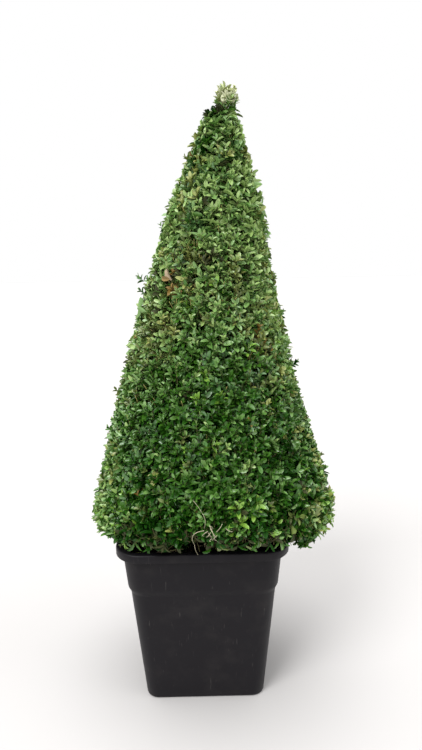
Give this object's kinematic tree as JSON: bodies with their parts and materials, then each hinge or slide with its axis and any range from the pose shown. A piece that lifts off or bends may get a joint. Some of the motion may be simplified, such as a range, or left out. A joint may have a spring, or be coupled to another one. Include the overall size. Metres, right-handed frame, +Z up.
{
  "type": "boxwood cone topiary in a square nursery pot",
  "caption": "Boxwood clipped to a tall leaning cone, with a pale tuft at its tip and loose shoots at its foot, grown in a square black plastic nursery pot.",
  "frame": {"origin": "centre of the pot's flat underside", "axes": "+Z up, +X to the right and +Y away from someone facing the plant"},
  "size_m": [0.3987, 0.3901, 1.016],
  "materials": {
    "pot_plastic": "satin",
    "compost": "matte",
    "bark": "matte",
    "foliage": "satin",
    "loose_foliage": "satin",
    "new_foliage": "satin"
  },
  "bodies": {
    "root": {"pot": "pot_plastic", "compost": "compost", "trunk": "bark", "bough_left": "bark", "bough_back": "bark", "bough_front": "bark", "bough_low_right": "bark", "crown": "foliage", "loose_shoots": "loose_foliage", "tip_tuft": "new_foliage"}
  },
  "joints": []
}
